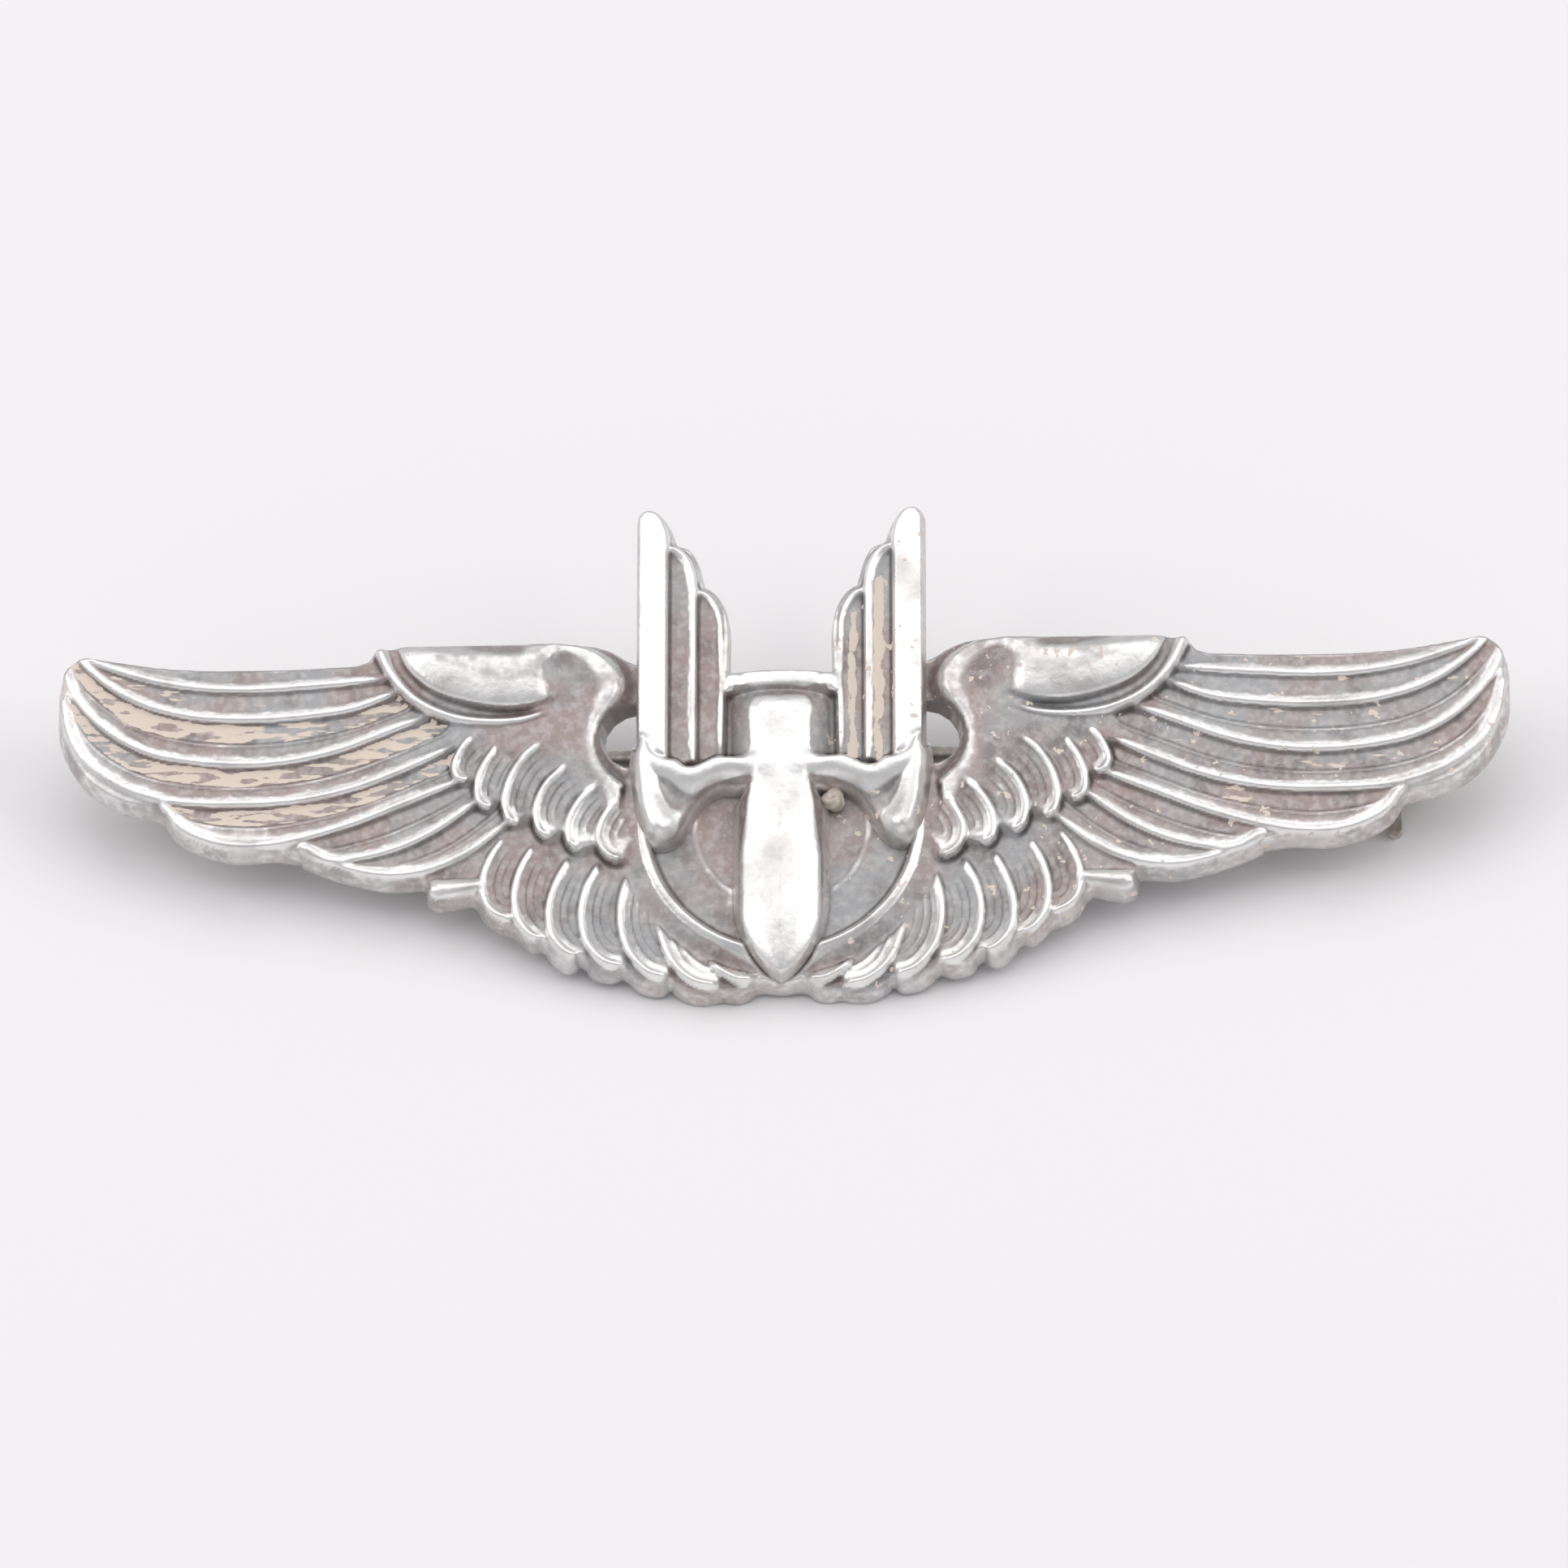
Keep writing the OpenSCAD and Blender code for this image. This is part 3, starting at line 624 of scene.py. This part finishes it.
def device_relief():
    relief = Relief(*DEVICE_GRID, DEVICE_STEP)
    relief.z += WEB_LEVEL
    lay_small_wings(relief)
    lay_bar(relief)
    lay_lobe(relief)
    lay_bullet(relief)
    tone_bullet(relief)
    relief.z = blurred(relief.z, 1.3)
    return relief


# ---------------------------------------------------------------- meshes from reliefs

BACK_TONE = 0.5  # how toned the flat back is


def mirrored(field, sign=1):
    """The whole piece's field from its right-hand half."""
    return np.concatenate([sign * field[:0:-1], field])


def to_outline(relief, loops):
    """Where the grid lies within the loops, its distance to them and the way to their nearest spot."""
    x, y = relief.x, relief.y
    within = np.zeros(x.shape, bool)
    foot = np.full(x.shape, np.inf)
    pull = np.zeros((*x.shape, 2))
    for loop in loops:
        within ^= inside(np.maximum(x, 0.01), y, loop)
        for a, b in zip(loop, np.roll(loop, -1, 0)):
            on_axis = max(a[0], b[0]) < 0.01
            dx, dy = b - a
            if on_axis or dx * dx + dy * dy < 1e-12:
                continue
            part = relief.near([a, b], 3.5)
            px, py = x[part], y[part]
            t = np.clip(((px - a[0]) * dx + (py - a[1]) * dy) / (dx * dx + dy * dy), 0, 1)
            to_x = a[0] + t * dx - px
            to_y = a[1] + t * dy - py
            d = np.hypot(to_x, to_y)
            nearer = d < foot[part]
            foot[part] = np.where(nearer, d, foot[part])
            pull[part] = np.where(nearer[..., None], np.stack([to_x, to_y], -1), pull[part])
    return within, foot, pull


def look_fields(relief, foot, wall, dirt_sides):
    """What the materials read at each point: hollow (toning, and on the bullet a painted darker
    reflection), creases (tarnish with painted shade), side walls (for painted light) and dried polish.
    """
    step = relief.step
    depth = 0.65 * blurred(relief.z, 0.5 / step) + 0.35 * blurred(relief.z, 1.6 / step) - relief.z
    # hollow takes the toning, which on the bullet includes a painted darker reflection down its middle
    hollow = np.clip(np.clip((depth + 0.16) / 0.22, 0, 1) + relief.tone, 0, 1)
    hollow += smoothstep(0.5, 0.2, foot) * (0.5 - hollow)
    # Creases and engraved lines: tarnish together with painted shade, darkened in the material
    crease_shade_and_tarnish = smoothstep(0.03, 0.12, blurred(relief.z, 0.15 / step) - relief.z)
    crease_shade_and_tarnish = crease_shade_and_tarnish * smoothstep(0.2, 0.45, foot)
    crease_shade_and_tarnish = np.clip(blurred(crease_shade_and_tarnish, 0.7) + relief.mark, 0, 1)
    # painted light: marks the drafted side walls, which the material lightens towards worn silver
    side = smoothstep(0, 0.3, relief.z - wall)
    left, right = dirt_sides
    dirt = np.concatenate([left * relief.dirt[:0:-1], right * relief.dirt])
    return {"hollow": mirrored(hollow), "crease_shade_and_tarnish": mirrored(crease_shade_and_tarnish), "side": mirrored(side), "dirt": dirt}


def relief_mesh(name, relief, loops, run, dirt_sides, place):
    """A closed mesh: the relief on top, cut by its drafted wall, upright at the foot, flat behind."""
    step = relief.step
    within, foot, pull = to_outline(relief, loops)
    spread = run[0] - run[1] * pull[..., 1] / np.maximum(foot, step)
    wall = LAND + np.clip(np.where(within, foot, -foot), -1, 3) / spread
    height = blurred(np.minimum(relief.z, wall), 0.6)

    kept = mirrored(within | (foot < 0.5 * step)) > 0
    quads = kept[:-1, :-1] & kept[1:, :-1] & kept[1:, 1:] & kept[:-1, 1:]
    count = np.zeros(kept.shape, int)
    for di in (0, 1):
        for dj in (0, 1):
            count[di:quads.shape[0] + di, dj:quads.shape[1] + dj] += quads
    used = count > 0
    border = used & (count < 4)
    index = np.full(used.shape, -1)
    index[used] = np.arange(used.sum())

    full_x = mirrored(relief.x, -1) + np.where(border, mirrored(pull[..., 0], -1), 0)
    full_y = mirrored(relief.y) + np.where(border, mirrored(pull[..., 1]), 0)
    full_z = np.where(border, LAND, mirrored(height))
    top = np.stack([full_x[used], full_y[used], full_z[used]], 1)
    i, j = np.nonzero(quads)
    faces = np.stack([index[i, j], index[i + 1, j], index[i + 1, j + 1], index[i, j + 1]], 1)

    edges = np.concatenate([faces[:, [k, (k + 1) % 4]] for k in range(4)])
    _, first, counts = np.unique(np.sort(edges, 1), axis=0, return_index=True, return_counts=True)
    rim = edges[first[counts == 1]]
    rim_points = np.unique(rim)
    below = np.full(len(top), -1)
    below[rim_points] = len(top) + np.arange(len(rim_points))
    low = top[rim_points] * (1, 1, 0)
    sides = np.stack([rim[:, 1], rim[:, 0], below[rim[:, 0]], below[rim[:, 1]]], 1)

    mesh = bpy.data.meshes.new(name)
    points = np.concatenate([top, low]) * MM + np.array(place)
    mesh.from_pydata(points.tolist(), [], np.concatenate([faces, sides]).tolist())
    close_back(mesh, set(rim_points.tolist()) | set(below[rim_points].tolist()))
    mesh.polygons.foreach_set("use_smooth", np.ones(len(mesh.polygons), bool))
    for label, field in look_fields(relief, foot, wall, dirt_sides).items():
        behind = BACK_TONE if label == "hollow" else 0
        values = np.concatenate([field[used], np.full(len(mesh.vertices) - len(top), behind)])
        mesh.attributes.new(label, "FLOAT", "POINT").data.foreach_set("value", values.astype(np.float32))
    piece = bpy.data.objects.new(name, mesh)
    bpy.context.scene.collection.objects.link(piece)
    return piece


def close_back(mesh, rims):
    """Fills the flat back between the lower rims, holes left open, and creases both rims."""
    solid = bmesh.new()
    solid.from_mesh(mesh)
    solid.verts.ensure_lookup_table()
    open_edges = [edge for edge in solid.edges if edge.is_boundary]
    bmesh.ops.triangle_fill(solid, use_beauty=True, use_dissolve=False, edges=open_edges)
    bmesh.ops.recalc_face_normals(solid, faces=solid.faces)
    for edge in solid.edges:
        start, end = edge.verts
        level = abs(start.co.z - end.co.z) < 1e-7
        if level and start.index in rims and end.index in rims:
            edge.smooth = False
    solid.to_mesh(mesh)
    solid.free()


# ---------------------------------------------------------------- materials


class Nodes:
    """A short way to add and join shader nodes."""

    def __init__(self, name):
        self.material = bpy.data.materials.new(name)
        self.material.use_nodes = True
        self.tree = self.material.node_tree
        self.shader = self.tree.nodes["Principled BSDF"]

    def add(self, kind, **settings):
        node = self.tree.nodes.new(kind)
        for key, value in settings.items():
            setattr(node, key, value)
        return node

    def join(self, source, target):
        self.tree.links.new(source, target)

    def attribute(self, name):
        return self.add("ShaderNodeAttribute", attribute_name=name).outputs["Fac"]

    def position(self):
        return self.add("ShaderNodeTexCoord").outputs["Object"]

    def noise(self, scale, detail=4, squash=(1, 1, 1)):
        """Cloudy pattern, drawn out along an axis whose squash is under one."""
        place = self.add("ShaderNodeMapping")
        place.inputs["Scale"].default_value = squash
        self.join(self.position(), place.inputs["Vector"])
        node = self.add("ShaderNodeTexNoise")
        node.inputs["Scale"].default_value = scale
        node.inputs["Detail"].default_value = detail
        self.join(place.outputs["Vector"], node.inputs["Vector"])
        return node.outputs["Fac"]

    def ramp(self, value, low, high, start=0.0, end=1.0):
        node = self.add("ShaderNodeMapRange", interpolation_type="SMOOTHSTEP")
        for key, number in (("From Min", low), ("From Max", high), ("To Min", start), ("To Max", end)):
            node.inputs[key].default_value = number
        self.join(value, node.inputs["Value"])
        return node.outputs["Result"]

    def math(self, operation, a, b, clamp=False):
        node = self.add("ShaderNodeMath", operation=operation, use_clamp=clamp)
        for socket, value in zip(node.inputs, (a, b)):
            if isinstance(value, (int, float)):
                socket.default_value = value
            else:
                self.join(value, socket)
        return node.outputs[0]

    def mix(self, factor, a, b):
        node = self.add("ShaderNodeMix", data_type="RGBA")
        self.join(factor, node.inputs["Factor"])
        for socket, value in ((node.inputs[6], a), (node.inputs[7], b)):
            if isinstance(value, tuple):
                socket.default_value = (*value, 1)
            else:
                self.join(value, socket)
        return node.outputs[2]

    def bump(self, height, strength, distance_mm, normal=None):
        node = self.add("ShaderNodeBump")
        if normal:
            self.join(normal, node.inputs["Normal"])
        node.inputs["Strength"].default_value = strength
        node.inputs["Distance"].default_value = distance_mm * MM
        self.join(height, node.inputs["Height"])
        self.join(node.outputs["Normal"], self.shader.inputs["Normal"])


# Silver from rubbed bright to its darkest toning, a near black for the tarnish and painted shade in
# creases, then dried polish.
BRIGHT = (0.86, 0.85, 0.84)
WORN = (0.62, 0.6, 0.585)
BROWN = (0.37, 0.3, 0.285)
BLUE = (0.375, 0.38, 0.39)
SOOT = (0.22, 0.2, 0.2)
SHADE_AND_TARNISH_DARK = (0.07, 0.06, 0.055)
CREAM = (0.74, 0.64, 0.55)


def struck_colour(net, depth, blotch, fine, polish):
    """Bright or worn silver on the heights, brown, blue-grey and soot in the hollows, painted shade in
    the creases and painted light on the side walls.
    """
    tone = net.mix(net.ramp(net.noise(150), 0.42, 0.62), BROWN, BLUE)
    tone = net.mix(net.ramp(net.noise(520, 6), 0.5, 0.64, 0, 0.6), tone, SOOT)
    tone = net.mix(net.ramp(fine, 0.38, 0.72, 0, 0.5), tone, WORN)
    flat = net.mix(net.ramp(blotch, 0.34 - polish, 0.58 - polish), WORN, BRIGHT)
    colour = net.mix(depth, flat, tone)
    # painted shade: creases and engraved lines darkened towards near black, over their tarnish
    colour = net.mix(net.ramp(net.attribute("crease_shade_and_tarnish"), 0, 1, 0, 0.8), colour, SHADE_AND_TARNISH_DARK)
    # painted light: the side walls lightened towards worn silver
    return net.mix(net.ramp(net.attribute("side"), 0, 1, 0, 0.6), colour, WORN)


def dried_polish(net, grain):
    """Streaks along the grain where polish was left to dry, and specks on the badge's right half."""
    dirt = net.attribute("dirt")
    streaks = net.math("MULTIPLY", net.noise(650, 4, grain), 0.5)
    streaks = net.math("ADD", streaks, net.math("MULTIPLY", net.noise(2600, 5, grain), 0.6))
    streaks = net.math("ADD", streaks, net.math("MULTIPLY", dirt, 0.36))
    streaks = net.math("MULTIPLY", net.ramp(streaks, 0.825, 0.865), net.ramp(dirt, 0, 0.2), clamp=True)
    across = net.add("ShaderNodeSeparateXYZ")
    net.join(net.position(), across.inputs["Vector"])
    right_half = net.ramp(across.outputs["X"], 1 * MM, 4 * MM)
    specks = net.math("MULTIPLY", net.ramp(net.noise(1500, 3), 0.66, 0.68), right_half)
    return net.math("MAXIMUM", streaks, specks)


def relief_silver(name, tarnish, polish, grain):
    """Struck silver: bright where it is rubbed, toned in the hollows, with dried polish left in some.

    tarnish spreads the toning, polish the brightness, and grain draws out the dried streaks.
    """
    net = Nodes(name)
    blotch = net.noise(330, 5)
    fine = net.noise(2100, 6)
    cloudy = net.math("MULTIPLY", net.math("SUBTRACT", blotch, 0.5), 0.8)
    grainy = net.math("MULTIPLY", net.math("SUBTRACT", fine, 0.5), 0.6)
    depth = net.math("ADD", net.math("ADD", net.attribute("hollow"), cloudy), grainy)
    depth = net.ramp(depth, 0.35 - tarnish, 0.85 - tarnish)
    cream = dried_polish(net, grain)
    colour = net.mix(cream, struck_colour(net, depth, blotch, fine, polish), CREAM)
    net.join(colour, net.shader.inputs["Base Color"])
    net.join(net.math("SUBTRACT", 1, cream), net.shader.inputs["Metallic"])
    rough = net.math("ADD", net.ramp(depth, 0, 1, 0.32, 0.5), net.math("MULTIPLY", fine, 0.14))
    rough = net.math("MAXIMUM", rough, net.math("MULTIPLY", cream, 0.8))
    net.join(rough, net.shader.inputs["Roughness"])
    dents = net.math("ADD", net.math("MULTIPLY", net.noise(700, 3), 1.6), net.noise(3200, 5))
    net.bump(net.math("ADD", dents, net.math("MULTIPLY", cream, 0.6)), 0.5, 0.05)
    return net.material


def plain_silver(name, base, dull, roughness, metallic=1.0):
    """Metal of the findings: cloudy toning, uneven polish, a fine grain and slightly rounded edges."""
    net = Nodes(name)
    cloud = net.ramp(net.noise(900, 5), 0.35, 0.68)
    net.join(net.mix(cloud, base, dull), net.shader.inputs["Base Color"])
    uneven = net.ramp(net.noise(2600, 5), 0.3, 0.7, roughness, roughness + 0.2)
    net.join(uneven, net.shader.inputs["Roughness"])
    net.shader.inputs["Metallic"].default_value = metallic
    rounded = net.add("ShaderNodeBevel", samples=4)
    rounded.inputs["Radius"].default_value = 0.1 * MM
    net.bump(net.noise(5200, 4), 0.2, 0.02, rounded.outputs["Normal"])
    return net.material


def floor_paper():
    """White paper, seen from above only, so that the badge's back can be looked at from below."""
    net = Nodes("floor_paper")
    net.shader.inputs["Base Color"].default_value = (0.86, 0.85, 0.86, 1)
    net.shader.inputs["Roughness"].default_value = 0.85
    net.shader.inputs["Specular IOR Level"].default_value = 0.2
    net.bump(net.noise(900, 4), 0.05, 0.05)
    clear = net.add("ShaderNodeBsdfTransparent")
    blend = net.add("ShaderNodeMixShader")
    net.join(net.add("ShaderNodeNewGeometry").outputs["Backfacing"], blend.inputs["Fac"])
    net.join(net.shader.outputs["BSDF"], blend.inputs[1])
    net.join(clear.outputs["BSDF"], blend.inputs[2])
    net.join(blend.outputs["Shader"], net.tree.nodes["Material Output"].inputs["Surface"])
    return net.material


# ---------------------------------------------------------------- pieces


def make_plate():
    loops = [plate_outline(), np.array(LOOP_HOLE)]
    place = (0, RING_Y, PLATE_BACK)
    piece = relief_mesh("struck_plate", plate_relief(), loops, WALL_RUN, (1, 0.5), place)
    piece.data.materials.append(relief_silver("struck_silver", 0.08, 0.08, (0.22, 1, 1)))
    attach(piece, "badge")
    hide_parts("wing_plate")


def make_device():
    place = (0, RING_Y, DEVICE_BACK)
    loops = [device_outline()]
    piece = relief_mesh("bullet_and_small_wings", device_relief(), loops, DEVICE_RUN, (0, 1), place)
    piece.data.materials.append(relief_silver("device_silver", 0, 0.07, (1, 0.35, 1)))
    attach(piece, "badge")
    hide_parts("winged_bullet")


def make_solder_lump():
    """The blob of solder beside the bullet: a sagging, uneven drop in place of the CAD's ball."""
    low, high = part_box("device_solder")
    middle = (low + high) / 2
    reach = (high - low) / 2
    turns, rings = 40, 20
    points = []
    for ring in range(rings + 1):
        tilt = math.pi * ring / rings
        for turn in range(turns):
            swing = math.tau * turn / turns
            lumpy = 0.86 - 0.07 * math.sin(3 * swing + 1) * math.sin(tilt)
            lumpy += 0.05 * math.sin(7 * tilt + 4 * swing)
            out = math.sin(tilt) ** 0.8 * lumpy
            upright = math.cos(tilt) * (0.99 if tilt > 1.6 else lumpy)
            spot = (out * math.cos(swing), out * math.sin(swing), upright)
            points.append([m + r * part for m, r, part in zip(middle, reach, spot)])
    faces = []
    for ring in range(rings):
        for turn in range(turns):
            after = (turn + 1) % turns
            start = ring * turns
            faces.append((start + turn, start + turns + turn, start + turns + after, start + after))
    mesh = bpy.data.meshes.new("solder_lump")
    mesh.from_pydata(points, [], faces)
    mesh.polygons.foreach_set("use_smooth", [True] * len(faces))
    piece = bpy.data.objects.new("solder_lump", mesh)
    bpy.context.scene.collection.objects.link(piece)
    mesh.materials.append(plain_silver("grey_solder", (0.62, 0.56, 0.5), (0.32, 0.28, 0.25), 0.6, 0.5))
    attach(piece, "badge")
    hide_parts("device_solder")


def dress_findings():
    """New materials on the CAD nodes that stay."""
    solder = plain_silver("dull_solder", (0.6, 0.58, 0.56), (0.3, 0.27, 0.24), 0.45)
    stamped = plain_silver("stamped_silver", (0.8, 0.77, 0.73), (0.5, 0.45, 0.4), 0.28)
    wire = plain_silver("drawn_wire", (0.7, 0.67, 0.62), (0.42, 0.38, 0.33), 0.3)
    looks = {"hinge_solder": solder, "catch_solder": solder, "pin_stem": wire}
    for name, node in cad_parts.items():
        if name in ("wing_plate", "winged_bullet", "device_solder"):
            continue
        node.data.materials.clear()
        node.data.materials.append(looks.get(name, stamped))


# ---------------------------------------------------------------- stage, light and camera

FLOOR_HALF = 0.6
CAMERA_TILT = math.radians(19.8)
CAMERA_TURN = math.radians(2.6)
CAMERA_REACH = 0.55
VIEW_WIDTH = 81.9 * MM
VIEW_CENTRE = (0.13 * MM, RING_Y + 2.24 * MM, DEVICE_BACK)
SENSOR_WIDTH = 36
WARM = (1, 0.99, 0.97)
MILD = (1, 0.99, 0.98)
WHITE = (1, 1, 1)
# Each softbox's name, place in metres, width and depth, power in watts and colour.
SOFTBOXES = [
    ("left_softbox", (-0.42, 0.1, 0.36), (0.4, 0.4), 0.85, WARM),
    ("right_softbox", (0.42, 0.1, 0.36), (0.4, 0.4), 0.85, WARM),
    ("back_softbox", (0, 0.5, 0.4), (0.6, 0.3), 0.75, MILD),
    ("front_softbox", (0, -0.5, 0.22), (0.5, 0.25), 0.2, WHITE),
    ("top_softbox", (0, 0.28, 0.7), (0.6, 0.5), 0.9, MILD),
]
ROOM_COLOUR = (0.9, 0.9, 0.93, 1)
ROOM_STRENGTH = 0.52


def add_floor():
    """The badge rests on its catch and on the plate's lower edge, so the floor slopes behind it."""
    catch_low, catch_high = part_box("catch_body")
    middle = (catch_low + catch_high) / 2
    radius = middle.z - catch_low.z + CATCH_CLEAR
    reach = math.hypot(middle.y - plate_low.y, PLATE_BACK - middle.z)
    slope = math.asin(radius / reach) + math.atan2(PLATE_BACK - middle.z, middle.y - plate_low.y)
    run = FLOOR_HALF * math.cos(slope)
    rise = FLOOR_HALF * math.sin(slope)
    corners = []
    for across, along in ((-1, -1), (1, -1), (1, 1), (-1, 1)):
        corners.append((across * FLOOR_HALF, plate_low.y + along * run, PLATE_BACK - along * rise))
    mesh = bpy.data.meshes.new("floor")
    mesh.from_pydata(corners, [], [(0, 1, 2, 3)])
    floor = bpy.data.objects.new("floor", mesh)
    floor.data.materials.append(floor_paper())
    bpy.context.scene.collection.objects.link(floor)


def add_softbox(name, place, size, power, colour):
    """A rectangular lamp that faces the middle of the badge."""
    light = bpy.data.lights.new(name, "AREA")
    light.shape = "RECTANGLE"
    light.size, light.size_y = size
    light.energy = power
    light.color = colour
    lamp = bpy.data.objects.new(name, light)
    lamp.location = place
    to_badge = Vector((0, RING_Y, DEVICE_BACK)) - Vector(place)
    lamp.rotation_euler = to_badge.to_track_quat("-Z", "Y").to_euler()
    bpy.context.scene.collection.objects.link(lamp)


def add_light():
    world = bpy.data.worlds.new("room")
    world.use_nodes = True
    background = world.node_tree.nodes["Background"]
    background.inputs["Color"].default_value = ROOM_COLOUR
    background.inputs["Strength"].default_value = ROOM_STRENGTH
    bpy.context.scene.world = world
    for softbox in SOFTBOXES:
        add_softbox(*softbox)


def add_camera():
    """Off the badge's normal towards its lower edge and a little to its right, badge upright."""
    camera = bpy.data.cameras.new("camera")
    camera.sensor_width = SENSOR_WIDTH
    camera.lens = SENSOR_WIDTH * CAMERA_REACH / VIEW_WIDTH
    camera.clip_start = 0.01
    eye = bpy.data.objects.new("camera", camera)
    level = math.cos(CAMERA_TILT)
    back = Vector((math.sin(CAMERA_TURN) * level, -math.sin(CAMERA_TILT), math.cos(CAMERA_TURN) * level))
    across = Vector((0, 1, 0)).cross(back).normalized()
    turned = Matrix((across, back.cross(across), back)).transposed().to_4x4()
    eye.matrix_world = Matrix.Translation(Vector(VIEW_CENTRE) + CAMERA_REACH * back) @ turned
    bpy.context.scene.collection.objects.link(eye)
    bpy.context.scene.camera = eye


make_plate()
make_device()
make_solder_lump()
dress_findings()
add_floor()
add_light()
add_camera()
bpy.context.scene.view_settings.view_transform = "Standard"
